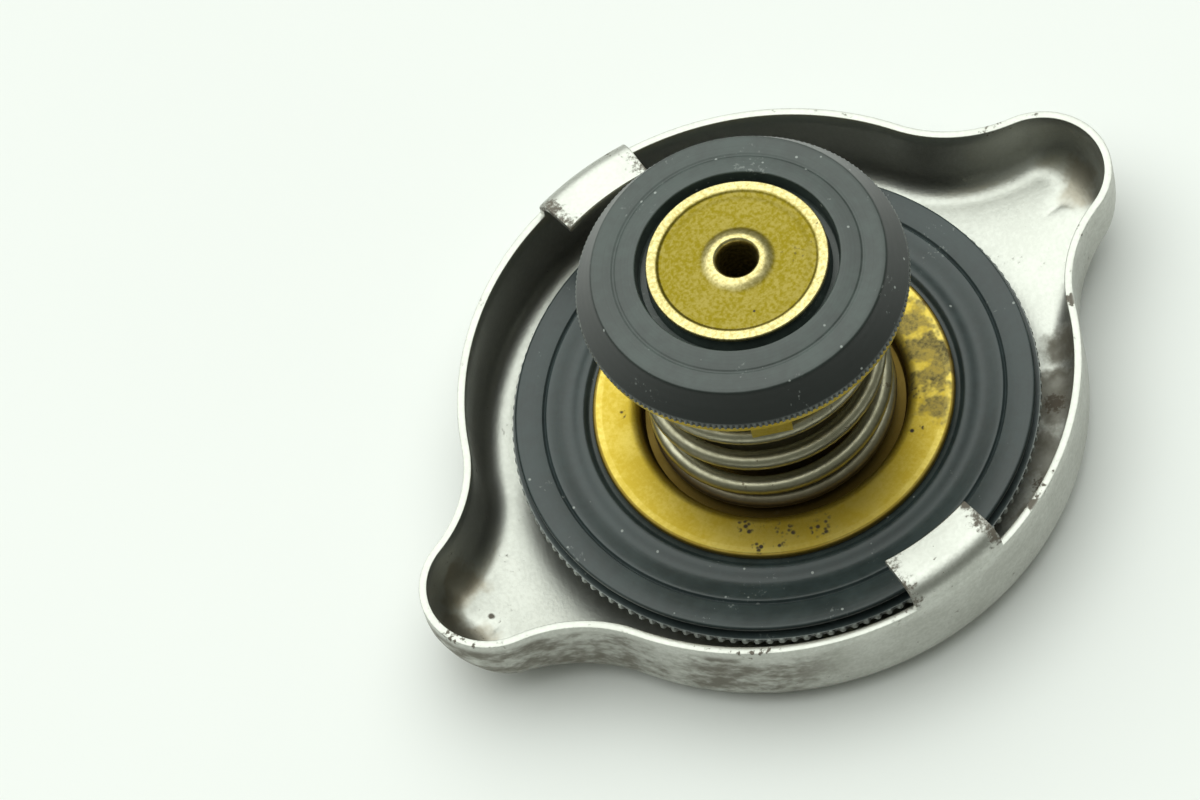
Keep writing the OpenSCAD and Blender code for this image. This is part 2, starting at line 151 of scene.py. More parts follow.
class Workshop:
    """Hand-modelling steps that several pieces share."""

    @staticmethod
    def clear_selection() -> None:
        """Leaves object mode with nothing selected."""
        if bpy.context.object and bpy.context.object.mode != "OBJECT":
            bpy.ops.object.mode_set(mode="OBJECT")
        bpy.ops.object.select_all(action="DESELECT")

    @staticmethod
    def pick(obj: bpy.types.Object) -> None:
        """Selects one object alone and makes it active.

        Args:
            obj: the object.
        """
        Workshop.clear_selection()
        bpy.context.view_layer.objects.active = obj
        obj.select_set(True)

    @staticmethod
    def draw_line(name: str, points: Sequence[Point3]) -> bpy.types.Object:
        """Draws a line of edges by extruding a single corner.

        Args:
            name: the new object's name.
            points: corners in millimetres.

        Returns:
            The object, in edit mode, with its last corner selected.
        """
        Workshop.clear_selection()
        bpy.ops.mesh.primitive_plane_add(size=MM)
        obj = bpy.context.object
        obj.name = obj.data.name = name
        bpy.ops.object.mode_set(mode="EDIT")
        bpy.ops.mesh.merge(type="CENTER")
        corners = [Vector(p) * MM for p in points]
        bpy.ops.transform.translate(value=corners[0])
        for a, b in zip(corners, corners[1:]):
            bpy.ops.mesh.extrude_region_move(TRANSFORM_OT_translate={"value": b - a})
        return obj

    @staticmethod
    def spun(name: str, profile: Sequence[Point], steps: int) -> bpy.types.Object:
        """Turns a closed profile round the Z axis, as on a lathe.

        Args:
            name: the new object's name.
            profile: [r, z] corners in millimetres; the last joins the first.
            steps: divisions of the full turn.

        Returns:
            The turned piece, in object mode.
        """
        line = [(r, 0.0, z) for r, z in profile]
        obj = Workshop.draw_line(name, line + line[:1])
        bpy.ops.mesh.select_all(action="SELECT")
        bpy.ops.mesh.spin(steps=steps, angle=TURN, center=(0, 0, 0), axis=(0, 0, 1))
        Workshop.weld()
        return obj

    @staticmethod
    def weld() -> None:
        """Merges doubles, turns the faces outwards and leaves edit mode."""
        bpy.ops.mesh.select_all(action="SELECT")
        bpy.ops.mesh.remove_doubles(threshold=1e-7)
        bpy.ops.mesh.normals_make_consistent(inside=False)
        bpy.ops.mesh.select_all(action="DESELECT")
        bpy.ops.object.mode_set(mode="OBJECT")

    @staticmethod
    def select_corners(obj: bpy.types.Object, wanted: Callable[[Vector], bool]) -> None:
        """Selects a piece's corners by their place.

        Args:
            obj: the piece, in object mode.
            wanted: says whether a corner, in millimetres, is selected.
        """
        for corner in obj.data.vertices:
            corner.select = wanted(corner.co / MM)

    @staticmethod
    def cut_teeth(obj: bpy.types.Object, edge_r: float, low: float, high: float, teeth: int,
                  depth: float) -> None:
        """Presses the gaps between fine teeth into a round edge.

        Args:
            obj: a turned piece with four divisions to a tooth.
            edge_r: radius of the edge.
            low, high: heights between which the edge is toothed.
            teeth: number of teeth.
            depth: depth of a gap.
        """
        slack, half_division, gap_from = 0.03, 0.125, 0.5

        def in_gap(p: Vector) -> bool:
            """Says whether a corner of the edge lies between two teeth."""
            on_edge = low <= p.z <= high and abs(math.hypot(p.x, p.y) - edge_r) < slack
            return on_edge and (math.atan2(p.y, p.x) / TURN * teeth + half_division) % 1.0 >= gap_from

        Workshop.pick(obj)
        bpy.ops.object.mode_set(mode="EDIT")
        bpy.ops.mesh.select_all(action="DESELECT")
        bpy.ops.mesh.select_mode(type="VERT")
        bpy.ops.object.mode_set(mode="OBJECT")
        Workshop.select_corners(obj, in_gap)
        bpy.ops.object.mode_set(mode="EDIT")
        share = (edge_r - depth) / edge_r
        bpy.ops.transform.resize(value=(share, share, 1.0), center_override=(0.0, 0.0, 0.0))
        bpy.ops.mesh.select_all(action="DESELECT")
        bpy.ops.object.mode_set(mode="OBJECT")

    @staticmethod
    def smooth(obj: bpy.types.Object, degrees: float) -> None:
        """Shades a piece smooth except at sharp edges.

        Args:
            obj: the piece.
            degrees: the angle from which an edge is sharp.
        """
        Workshop.pick(obj)
        bpy.ops.object.shade_smooth_by_angle(angle=math.radians(degrees))
        obj.select_set(False)

    @staticmethod
    def apply(obj: bpy.types.Object, kind: str, **settings: object) -> None:
        """Adds a modifier and applies it.

        Args:
            obj: the piece.
            kind: the modifier's type.
            settings: its properties.
        """
        Workshop.pick(obj)
        modifier = obj.modifiers.new(kind.lower(), kind)
        for key, value in settings.items():
            setattr(modifier, key, value)
        bpy.ops.object.modifier_apply(modifier=modifier.name)

    @staticmethod
    def wire(name: str, path: Sequence[Point3], radius: float, sides: int) -> bpy.types.Object:
        """Draws round wire along a path.

        Args:
            name: the new object's name.
            path: the wire's middle line in millimetres.
            radius: the wire's radius in millimetres.
            sides: sides of the wire's section.

        Returns:
            The wire as a closed mesh.
        """
        Workshop.clear_selection()
        bpy.ops.curve.primitive_nurbs_path_add(radius=MM)
        obj = bpy.context.object
        obj.name = obj.data.name = name
        curve = obj.data
        curve.splines.clear()
        spline = curve.splines.new("POLY")
        spline.points.add(len(path) - 1)
        for knot, place in zip(spline.points, path):
            knot.co = (place[0] * MM, place[1] * MM, place[2] * MM, 1.0)
        curve.dimensions = "3D"
        curve.twist_mode = "Z_UP"
        curve.bevel_depth = radius * MM
        curve.bevel_resolution = sides // 2 - 2
        curve.use_fill_caps = True
        obj.location = (0.0, 0.0, 0.0)
        bpy.ops.object.convert(target="MESH")
        obj = bpy.context.object
        bpy.ops.object.mode_set(mode="EDIT")
        Workshop.weld()
        return obj


# Finishes


class Graph:
    """Adds and links the nodes of one node tree."""

    def __init__(self, tree: bpy.types.NodeTree) -> None:
        """Keeps the tree that the nodes go into."""
        self.tree = tree

    def node(self, kind: str, **settings: object) -> bpy.types.Node:
        """Adds a node.

        Args:
            kind: the node's type.
            settings: properties to set on it.

        Returns:
            The node.
        """
        made = self.tree.nodes.new(kind)
        for key, value in settings.items():
            setattr(made, key, value)
        return made

    def feed(self, socket: Socket, source: Feed) -> None:
        """Links a socket to its source, or sets it to a constant.

        Args:
            socket: the input.
            source: an output, a value or a colour.
        """
        if isinstance(source, bpy.types.NodeSocket):
            self.tree.links.new(source, socket)
        elif isinstance(source, tuple) and len(source) == 3 and socket.type == "RGBA":
            socket.default_value = (*source, 1.0)
        else:
            socket.default_value = source

    def math(self, operation: str, a: Feed, b: Feed = 0.0, clamp: bool = False) -> Socket:
        """Adds a Math node.

        Args:
            operation: what it works out.
            a, b: its values.
            clamp: keeps the result between 0 and 1.

        Returns:
            The result.
        """
        made = self.node("ShaderNodeMath", operation=operation, use_clamp=clamp)
        self.feed(made.inputs[0], a)
        self.feed(made.inputs[1], b)
        return made.outputs[0]

    def plus(self, a: Feed, b: Feed, clamp: bool = False) -> Socket:
        """Sum of two values."""
        return self.math("ADD", a, b, clamp)

    def minus(self, a: Feed, b: Feed) -> Socket:
        """Difference of two values."""
        return self.math("SUBTRACT", a, b)

    def times(self, a: Feed, b: Feed) -> Socket:
        """Product of two values."""
        return self.math("MULTIPLY", a, b)

    def most(self, a: Feed, b: Feed) -> Socket:
        """The larger of two values."""
        return self.math("MAXIMUM", a, b)

    def inverse(self, mask: Feed) -> Socket:
        """One minus a mask."""
        return self.math("SUBTRACT", 1.0, mask)

    def mix(self, share: Feed, a: Feed, b: Feed) -> Socket:
        """Mixes two colours.

        Args:
            share: share of the second colour.
            a, b: the colours.

        Returns:
            The mixed colour.
        """
        made = self.node("ShaderNodeMix", data_type="RGBA")
        self.feed(made.inputs["Factor"], share)
        self.feed(made.inputs[6], a)
        self.feed(made.inputs[7], b)
        return made.outputs[2]

    def blend(self, share: Feed, a: Feed, b: Feed) -> Socket:
        """Mixes two values.

        Args:
            share: share of the second value.
            a, b: the values.

        Returns:
            The mixed value.
        """
        made = self.node("ShaderNodeMix", data_type="FLOAT")
        self.feed(made.inputs["Factor"], share)
        self.feed(made.inputs[2], a)
        self.feed(made.inputs[3], b)
        return made.outputs[0]

    def step(self, value: Feed, low: Feed, high: Feed) -> Socket:
        """Rises smoothly from 0 to 1.

        Args:
            value: what is measured.
            low: where the rise starts.
            high: where it ends.

        Returns:
            The risen share.
        """
        made = self.node("ShaderNodeMapRange", interpolation_type="SMOOTHSTEP")
        self.feed(made.inputs["Value"], value)
        self.feed(made.inputs["From Min"], low)
        self.feed(made.inputs["From Max"], high)
        return made.outputs["Result"]

    def rise(self, value: Feed, low: float, high: float) -> Socket:
        """Rises smoothly between two lengths in millimetres."""
        return self.step(value, low * MM, high * MM)

    def noise(self, vector: Feed, scale: Feed, detail: float = 2.0, roughness: float = 0.5) -> Socket:
        """Adds a noise texture.

        Args:
            vector: where it is read.
            scale: waves in a metre.
            detail, roughness: how much finer noise lies over it.

        Returns:
            Its value.
        """
        made = self.node("ShaderNodeTexNoise")
        self.feed(made.inputs["Vector"], vector)
        self.feed(made.inputs["Scale"], scale)
        made.inputs["Detail"].default_value = detail
        made.inputs["Roughness"].default_value = roughness
        return made.outputs[0]

    def stretched(self, vector: Feed, scale: Point3) -> Socket:
        """Scales a vector by axis, to draw a pattern out.

        Args:
            vector: the vector.
            scale: factors along X, Y and Z.

        Returns:
            The scaled vector.
        """
        made = self.node("ShaderNodeMapping")
        self.feed(made.inputs["Vector"], vector)
        made.inputs["Scale"].default_value = scale
        return made.outputs[0]

    def parts(self, vector: Feed) -> tuple[Socket, Socket, Socket]:
        """Splits a vector.

        Args:
            vector: the vector.

        Returns:
            Its X, Y and Z.
        """
        made = self.node("ShaderNodeSeparateXYZ")
        self.feed(made.inputs[0], vector)
        return made.outputs[0], made.outputs[1], made.outputs[2]

    def radius(self, vector: Feed) -> Socket:
        """Distance from the Z axis."""
        x, y, _ = self.parts(vector)
        return self.math("SQRT", self.plus(self.times(x, x), self.times(y, y)))

    def group(self, tree: bpy.types.NodeTree, **feeds: Feed) -> Socket:
        """Places a node group.

        Args:
            tree: the group.
            feeds: its inputs by name.

        Returns:
            The group's one output.
        """
        made = self.node("ShaderNodeGroup", node_tree=tree)
        for key, value in feeds.items():
            self.feed(made.inputs[key.replace("_", " ").capitalize()], value)
        return made.outputs[0]


class Effects:
    """Shader node groups that several finishes use."""

    @staticmethod
    def _open(name: str, inputs: dict[str, float],
              output: str) -> tuple[Graph, bpy.types.Node, bpy.types.Node]:
        """Starts a node group with a Vector input and one value output.

        Args:
            name: the group's name.
            inputs: value inputs with their defaults.
            output: name of the value output.

        Returns:
            The group's graph, its input node and its output node.
        """
        tree = bpy.data.node_groups.new(name, "ShaderNodeTree")
        tree.interface.new_socket("Vector", in_out="INPUT", socket_type="NodeSocketVector")
        for key, value in inputs.items():
            made = tree.interface.new_socket(key, in_out="INPUT", socket_type="NodeSocketFloat")
            made.default_value = value
        tree.interface.new_socket(output, in_out="OUTPUT", socket_type="NodeSocketFloat")
        g = Graph(tree)
        return g, g.node("NodeGroupInput"), g.node("NodeGroupOutput")

    def __init__(self) -> None:
        """Builds each group once."""
        self.mottle = self._mottle()
        self.specks = self._specks()
        self.flecks = self._flecks()
        self.rings = self._rings()
        self.band = self._band()
        self.spot = self._spot()

    def _mottle(self) -> bpy.types.NodeTree:
        """Blotches with fine grain.

        Returns:
            The group: Coarse and Fine scales and the Grain share give a Tone.
        """
        g, given, out = self._open("mottle", {"Coarse": 250.0, "Fine": 2200.0, "Grain": 0.5}, "Tone")
        where = given.outputs["Vector"]
        blotch = g.noise(where, given.outputs["Coarse"], 3.0, 0.6)
        grain = g.noise(where, given.outputs["Fine"], 2.0, 0.6)
        g.feed(out.inputs[0], g.step(g.blend(given.outputs["Grain"], blotch, grain), 0.36, 0.64))
        return g.tree

    def _specks(self) -> bpy.types.NodeTree:
        """Specks gathered in patches.

        Returns:
            The group: Scale, Cover, Patch scale and the edges' Soft share give a Mask.
        """
        names = {"Scale": 900.0, "Cover": 0.4, "Patch scale": 90.0, "Soft": 0.055}
        g, given, out = self._open("specks", names, "Mask")
        where, soft = given.outputs["Vector"], given.outputs["Soft"]
        fine = g.noise(where, given.outputs["Scale"], 3.0, 0.6)
        patch = g.noise(where, given.outputs["Patch scale"], 2.0, 0.5)
        level = g.minus(1.02, g.times(given.outputs["Cover"], 0.62))
        total = g.plus(fine, g.times(g.minus(patch, 0.5), 0.9))
        g.feed(out.inputs[0], g.step(total, g.minus(level, soft), g.plus(level, soft)))
        return g.tree

    def _flecks(self) -> bpy.types.NodeTree:
        """Scattered round flecks.

        Returns:
            The group: Scale of the cells, Size in a cell and Share of cells give a Mask.
        """
        g, given, out = self._open("flecks", {"Scale": 600.0, "Size": 0.1, "Share": 0.5}, "Mask")
        cells = g.node("ShaderNodeTexVoronoi")
        g.feed(cells.inputs["Vector"], given.outputs["Vector"])
        g.feed(cells.inputs["Scale"], given.outputs["Scale"])
        pick = g.node("ShaderNodeSeparateColor")
        g.feed(pick.inputs[0], cells.outputs["Color"])
        size = given.outputs["Size"]
        dot = g.inverse(g.step(cells.outputs["Distance"], g.times(size, 0.5), size))
        chosen = g.math("LESS_THAN", pick.outputs[0], given.outputs["Share"])
        g.feed(out.inputs[0], g.times(dot, chosen))
        return g.tree

    def _rings(self) -> bpy.types.NodeTree:
        """Fine turning marks round the Z axis.

        Returns:
            The group: Density and Waver give a Height.
        """
        g, given, out = self._open("rings", {"Density": 4000.0, "Waver": 0.0002}, "Height")
        where = given.outputs["Vector"]
        waver = g.times(g.noise(where, 60.0, 1.0), given.outputs["Waver"])
        r = g.times(g.plus(g.radius(where), waver), given.outputs["Density"])
        made = g.node("ShaderNodeTexNoise", noise_dimensions="1D")
        g.feed(made.inputs["W"], r)
        made.inputs["Scale"].default_value = 1.0
        made.inputs["Detail"].default_value = 2.0
        g.feed(out.inputs[0], made.outputs[0])
        return g.tree

    def _band(self) -> bpy.types.NodeTree:
        """A soft ring round the Z axis.

        Returns:
            The group: its Radius and half Width give a Mask.
        """
        g, given, out = self._open("band", {"Radius": 0.01, "Width": 0.0005}, "Mask")
        width = given.outputs["Width"]
        gap = g.math("ABSOLUTE", g.minus(g.radius(given.outputs["Vector"]), given.outputs["Radius"]))
        g.feed(out.inputs[0], g.inverse(g.step(gap, g.times(width, 0.45), width)))
        return g.tree

    def _spot(self) -> bpy.types.NodeTree:
        """A ragged stain.

        Returns:
            The group: a place X, Y, Z, its Size, Ragged share and Grain scale give a Mask.
        """
        names = {"X": 0.0, "Y": 0.0, "Z": 0.0, "Size": 0.002, "Ragged": 0.5, "Grain": 900.0}
        g, given, out = self._open("spot", names, "Mask")
        where = given.outputs["Vector"]
        place = g.node("ShaderNodeCombineXYZ")
        for key in "XYZ":
            g.feed(place.inputs[key], given.outputs[key])
        gap = g.node("ShaderNodeVectorMath", operation="DISTANCE")
        g.feed(gap.inputs[0], where)
        g.feed(gap.inputs[1], place.outputs[0])
        reach = g.math("DIVIDE", gap.outputs["Value"], given.outputs["Size"])
        rough = g.minus(g.noise(where, given.outputs["Grain"], 3.0, 0.6), 0.5)
        total = g.plus(reach, g.times(rough, g.times(given.outputs["Ragged"], 4.0)))
        g.feed(out.inputs[0], g.inverse(g.step(total, 0.55, 1.1)))
        return g.tree


class Finish:
    """What every finish shares: a material with a Principled shader and object coordinates."""

    @staticmethod
    def begin(name: str) -> tuple[bpy.types.Material, Graph, bpy.types.Node, Socket]:
        """Starts a material.

        Args:
            name: the material's name.

        Returns:
            The material, its graph, its Principled shader and the object coordinates.
        """
        material = bpy.data.materials.new(name)
        material.use_nodes = True
        g = Graph(material.node_tree)
        shader = material.node_tree.nodes["Principled BSDF"]
        return material, g, shader, g.node("ShaderNodeTexCoord").outputs["Object"]

    @staticmethod
    def outside(g: Graph, where: Socket) -> Socket:
        """Tells the outside of a round piece from its inside.

        Args:
            g: the material's graph.
            where: the object coordinates.

        Returns:
            A mask that is 1 where a surface faces away from the Z axis and 0 where it faces it.
        """
        x, y, _ = g.parts(where)
        nx, ny, _ = g.parts(g.node("ShaderNodeTexCoord").outputs["Normal"])
        away = g.plus(g.times(x, nx), g.times(y, ny))
        return g.step(g.math("DIVIDE", away, g.radius(where)), 0.05, 0.45)

    @staticmethod
    def bump(g: Graph, shader: bpy.types.Node, height: Socket, depth: float, strength: float) -> None:
        """Feeds a height into the shader's normal.

        Args:
            g: the material's graph.
            shader: its Principled shader.
            height: the height, in units of depth.
            depth: that unit in millimetres.
            strength: share of the bump that shows.
        """
        made = g.node("ShaderNodeBump")
        made.inputs["Strength"].default_value = strength
        made.inputs["Distance"].default_value = depth * MM
        g.feed(made.inputs["Height"], height)
        g.feed(shader.inputs["Normal"], made.outputs[0])


@dataclass(frozen=True)
class Spot:
    """One stain: bearing in degrees, then radius, height and size in millimetres."""

    bearing: float
    r: float
    z: float
    size: float
    ragged: float = 0.5
    grain: float = 900.0

    def mask(self, g: Graph, effects: Effects, where: Socket) -> Socket:
        """Places the stain in a material.

        Args:
            g: the material's graph.
            effects: the shared node groups.
            where: the object coordinates.

        Returns:
            The stain's mask.
        """
        a = math.radians(self.bearing)
        return g.group(effects.spot, vector=where, x=self.r * math.cos(a) * MM, y=self.r * math.sin(a) * MM,
                       z=self.z * MM, size=self.size * MM, ragged=self.ragged, grain=self.grain)

    @staticmethod
    def all(spots: Sequence["Spot"], g: Graph, effects: Effects, where: Socket) -> Feed:
        """Joins several stains.

        Args:
            spots: the stains.
            g: the material's graph.
            effects: the shared node groups.
            where: the object coordinates.

        Returns:
            Their joint mask.
        """
        joined: Feed = 0.0
        for spot in spots:
            joined = g.most(joined, spot.mask(g, effects, where))
        return joined


@dataclass(frozen=True)
class ZincFinish:
    """Zinc-plated pressed steel: brown veil outside, grime on rim, tabs and floor; lengths in mm."""

    bright: Colour = (0.575, 0.58, 0.54)
    dull: Colour = (0.475, 0.48, 0.44)
    veil: Colour = (0.125, 0.108, 0.078)
    tint: Colour = (0.30, 0.25, 0.175)
    grime: Colour = (0.075, 0.052, 0.030)
    inside_rough: float = 0.40
    outside_rough: float = 0.45
    dirt_rough: float = 0.7
    tint_share: float = 0.6
    dirt_share: float = 0.85
    veil_x: Point = (-19.0, -11.0)
    worn_z: Point = (9.1, 10.2)
    rim_z: Point = (9.8, 10.6)
    tab_z: Point = (10.9, 11.7)
    tab_side: Point = (2.4, 5.2)
    spots: tuple[Spot, ...] = ()
    films: tuple[Spot, ...] = ()
    tints: tuple[Spot, ...] = ()

    def material(self, effects: Effects) -> bpy.types.Material:
        """Builds the material.

        Args:
            effects: the shared node groups.

        Returns:
            The material.
        """
        mat, g, shader, where = Finish.begin("zinc_pressing")
        x, _, z = g.parts(where)
        outside = Finish.outside(g, where)
        inside = g.inverse(outside)
        tone = g.group(effects.mottle, vector=where, coarse=230.0, fine=2500.0, grain=0.6)
        sheen = g.blend(outside, g.blend(0.7, tone, 0.9), g.blend(0.3, tone, 0.6))
        metal = g.mix(sheen, self.dull, self.bright)
        drawn = g.stretched(where, (1.0, 1.0, 1.8))
        streaks = g.group(effects.mottle, vector=drawn, coarse=210.0, fine=800.0, grain=0.35)
        veiled_side = g.inverse(g.rise(x, *self.veil_x))
        veil = g.times(g.times(streaks, outside), g.blend(veiled_side, 0.12, 0.8))
        film = g.times(Spot.all(self.films, g, effects, where), g.blend(streaks, 0.62, 0.88))
        below_rim = g.inverse(g.rise(z, *self.worn_z))
        veil = g.plus(g.times(veil, below_rim), g.times(film, inside), clamp=True)
        metal = g.mix(veil, metal, self.veil)
        tinted = g.times(Spot.all(self.tints, g, effects, where), self.tint_share)
        metal = g.mix(tinted, metal, self.tint)
        pit_cover = g.blend(g.rise(z, *self.rim_z), 0.26, 0.42)
        pits = g.group(effects.specks, vector=where, scale=1700.0, cover=pit_cover, patch_scale=140.0)
        side = g.times(g.rise(z, *self.tab_z), g.rise(g.math("ABSOLUTE", x), *self.tab_side))
        tab_dirt = g.group(effects.specks, vector=where, scale=2600.0, cover=g.blend(side, 0.24, 0.8),
                           patch_scale=420.0, soft=0.15)
        spots = g.times(Spot.all(self.spots, g, effects, where), inside)
        dirt = g.times(g.most(g.most(pits, tab_dirt), spots), self.dirt_share)
        g.feed(shader.inputs["Base Color"], g.mix(dirt, metal, self.grime))
        g.feed(shader.inputs["Metallic"], g.blend(dirt, g.blend(veil, 1.0, 0.55), 0.0))
        rough = g.blend(outside, self.inside_rough, self.outside_rough)
        rough = g.plus(rough, g.times(tone, -0.05))
        g.feed(shader.inputs["Roughness"], g.blend(g.most(dirt, veil), rough, self.dirt_rough))
        Finish.bump(g, shader, g.plus(g.times(tone, 0.5), g.times(dirt, 0.5)), 0.03, 0.35)
        return mat


@dataclass(frozen=True)
class BrassFinish:
    """Pressed brass: polished rings and painted highlight rings, tarnished hollows, painted brown shade low
    in the spring cup, turning marks, and stains that also paint shade; lengths in millimetres.
    """

    name: str
    bright: Colour = (0.68, 0.54, 0.135)
    tarnish: Colour = (0.51, 0.36, 0.03)
    stain: Colour = (0.17, 0.145, 0.085)
    speck: Colour = (0.030, 0.017, 0.008)
    cup_shade: Colour = (0.105, 0.065, 0.018)
    bright_rough: float = 0.28
    tarnish_rough: float = 0.40
    stain_rough: float = 0.6
    rubbed_and_lit_bands: tuple[Point, ...] = ()
    polish_floor: float = 0.35
    mark_share: float = 0.12
    mottle_share: float = 0.3
    grain: float = 0.35
    cup_shade_z: Point = (-1.5, -0.75)
    brown_edge: float = -1.0
    edge_w: float = 0.3
    stains_and_shade: tuple[Spot, ...] = ()
    clusters: tuple[Spot, ...] = ()
    pits: tuple[Spot, ...] = ()

    def material(self, effects: Effects) -> bpy.types.Material:
        """Builds the material.

        Args:
            effects: the shared node groups.

        Returns:
            The material.
        """
        mat, g, shader, where = Finish.begin(self.name)
        _, _, z = g.parts(where)
        tone = g.group(effects.mottle, vector=where, coarse=230.0, fine=2600.0, grain=self.grain)
        marks = g.group(effects.rings, vector=where, density=5200.0)
        # Bright rings: real polish, and painted highlight rings that stand in for light on raised relief,
        # such as the vacuum valve's boss.
        rubbed_and_lit: Feed = self.polish_floor
        for r, width in self.rubbed_and_lit_bands:
            rubbed_and_lit = g.most(rubbed_and_lit, g.group(effects.band, vector=where, radius=r * MM, width=width * MM))
        clean_and_lit = g.times(rubbed_and_lit, g.blend(0.55, tone, 1.0))
        shift = g.times(g.minus(marks, 0.5), self.mark_share)
        shift = g.plus(shift, g.times(g.minus(tone, 0.5), self.mottle_share))
        clean_and_lit = g.plus(clean_and_lit, shift, clamp=True)
        metal = g.mix(clean_and_lit, self.tarnish, self.bright)
        # Stains; on the holder flange's right side they also paint the shade that falls there.
        stained_and_shaded = g.times(Spot.all(self.stains_and_shade, g, effects, where), g.blend(tone, 0.45, 0.95))
        grey = g.mix(tone, self.stain, tuple(0.45 * c for c in self.stain))
        metal = g.mix(stained_and_shaded, metal, grey)
        # Painted shade: below a height the brass turns dark brown, where shade and brass reflection fall in
        # the spring cup; the same brown also tints the outer edge.
        cup_shade = g.inverse(g.rise(z, *self.cup_shade_z))
        edge = g.group(effects.band, vector=where, radius=self.brown_edge * MM, width=self.edge_w * MM)
        metal = g.mix(g.most(g.times(cup_shade, 0.9), g.times(edge, 0.7)), metal, self.cup_shade)
        fine = g.group(effects.specks, vector=where, scale=1700.0, cover=0.30, patch_scale=170.0)
        dots = g.group(effects.flecks, vector=where, scale=1900.0, size=0.6, share=0.9)
        dark = g.times(dots, Spot.all(self.clusters, g, effects, where))
        dark = g.most(dark, g.times(fine, 0.5))
        dark = g.most(dark, Spot.all(self.pits, g, effects, where))
        g.feed(shader.inputs["Base Color"], g.mix(dark, metal, self.speck))
        g.feed(shader.inputs["Metallic"], g.blend(dark, 1.0, 0.2))
        rough = g.blend(clean_and_lit, self.tarnish_rough, self.bright_rough)
        g.feed(shader.inputs["Roughness"], g.blend(g.most(dark, stained_and_shaded), rough, self.stain_rough))
        Finish.bump(g, shader, g.plus(g.times(marks, self.mark_share), g.times(tone, 0.4)), 0.02, 0.4)
        return mat


@dataclass(frozen=True)
class RubberFinish:
    """Moulded black rubber: moulding lines, grey bloom that also paints light on the top face up to a set
    radius, white dust, dusty tips; lengths in millimetres.
    """

    name: str
    black: Colour = (0.012, 0.019, 0.020)
    bloom: Colour = (0.036, 0.054, 0.055)
    dust: Colour = (0.42, 0.45, 0.43)
    bloom_level: float = 0.5
    roughness: float = 0.34
    bloom_rough: float = 0.46
    sheen: float = 0.6
    ring_density: float = 2600.0
    ring_share: float = 0.3
    bloom_and_top_light_end: Point = (100.15, 99.85)
    tip_r: Point = (26.25, 26.45)
    tip_dust: float = 1.0
    fleck_share: float = 0.35

    def material(self, effects: Effects) -> bpy.types.Material:
        """Builds the material.

        Args:
            effects: the shared node groups.

        Returns:
            The material.
        """
        mat, g, shader, where = Finish.begin(self.name)
        r = g.radius(where)
        tone = g.group(effects.mottle, vector=where, coarse=140.0, fine=900.0, grain=0.4)
        marks = g.group(effects.rings, vector=where, density=self.ring_density)
        lines = g.times(g.minus(marks, 0.5), self.ring_share)
        share = g.plus(g.blend(0.55, tone, self.bloom_level), lines, clamp=True)
        # The bloom ends at a radius, so the top face gets painted light and the bevel beyond stays black as
        # painted shade.
        share = g.times(share, g.rise(r, *self.bloom_and_top_light_end))
        rubber = g.mix(share, self.black, self.bloom)
        flecks = g.group(effects.flecks, vector=where, scale=620.0, size=0.11, share=self.fleck_share)
        smear = g.group(effects.specks, vector=where, scale=2300.0, cover=0.36, patch_scale=210.0)
        dusty = g.most(g.times(flecks, 0.7), g.times(smear, 0.25))
        tips = g.times(g.rise(r, *self.tip_r), g.times(g.blend(0.5, tone, 1.0), self.tip_dust))
        g.feed(shader.inputs["Base Color"], g.mix(g.most(dusty, tips), rubber, self.dust))
        g.feed(shader.inputs["Roughness"], g.blend(share, self.roughness, self.bloom_rough))
        shader.inputs["Specular IOR Level"].default_value = self.sheen
        Finish.bump(g, shader, g.plus(g.times(marks, self.ring_share), g.times(tone, 0.3)), 0.03, 0.5)
        return mat


@dataclass(frozen=True)
class SteelFinish:
    """Drawn steel: warm spring wire or dull sheet, with rust specks and a painted brown shade and brass
    reflection towards the foot; lengths in millimetres.
    """

    name: str
    bright: Colour = (0.50, 0.475, 0.355)
    dull: Colour = (0.33, 0.31, 0.215)
    rust_and_shade_brown: Colour = (0.10, 0.066, 0.034)
    bright_rough: float = 0.32
    dull_rough: float = 0.42
    brown_rough: float = 0.46
    foot_shade_z: Point = (-1.0, 0.6)

    def material(self, effects: Effects) -> bpy.types.Material:
        """Builds the material.

        Args:
            effects: the shared node groups.

        Returns:
            The material.
        """
        mat, g, shader, where = Finish.begin(self.name)
        _, _, z = g.parts(where)
        tone = g.group(effects.mottle, vector=where, coarse=320.0, fine=1500.0, grain=0.45)
        drawn = g.noise(g.stretched(where, (1.0, 1.0, 6.0)), 900.0, 2.0, 0.6)
        metal = g.mix(g.blend(0.4, tone, drawn), self.dull, self.bright)
        fine = g.group(effects.specks, vector=where, scale=1500.0, cover=0.34, patch_scale=200.0)
        # Painted shade and brass reflection: the wire turns brown towards its foot in the cup; the fine
        # specks are rust.
        foot = g.inverse(g.rise(z, *self.foot_shade_z))
        rust_and_shade_brown = g.most(g.times(fine, 0.7), g.times(foot, 0.9))
        g.feed(shader.inputs["Base Color"], g.mix(rust_and_shade_brown, metal, self.rust_and_shade_brown))
        g.feed(shader.inputs["Metallic"], g.blend(rust_and_shade_brown, 1.0, 0.8))
        rough = g.blend(tone, self.dull_rough, self.bright_rough)
        g.feed(shader.inputs["Roughness"], g.blend(rust_and_shade_brown, rough, self.brown_rough))
        Finish.bump(g, shader, drawn, 0.02, 0.4)
        return mat


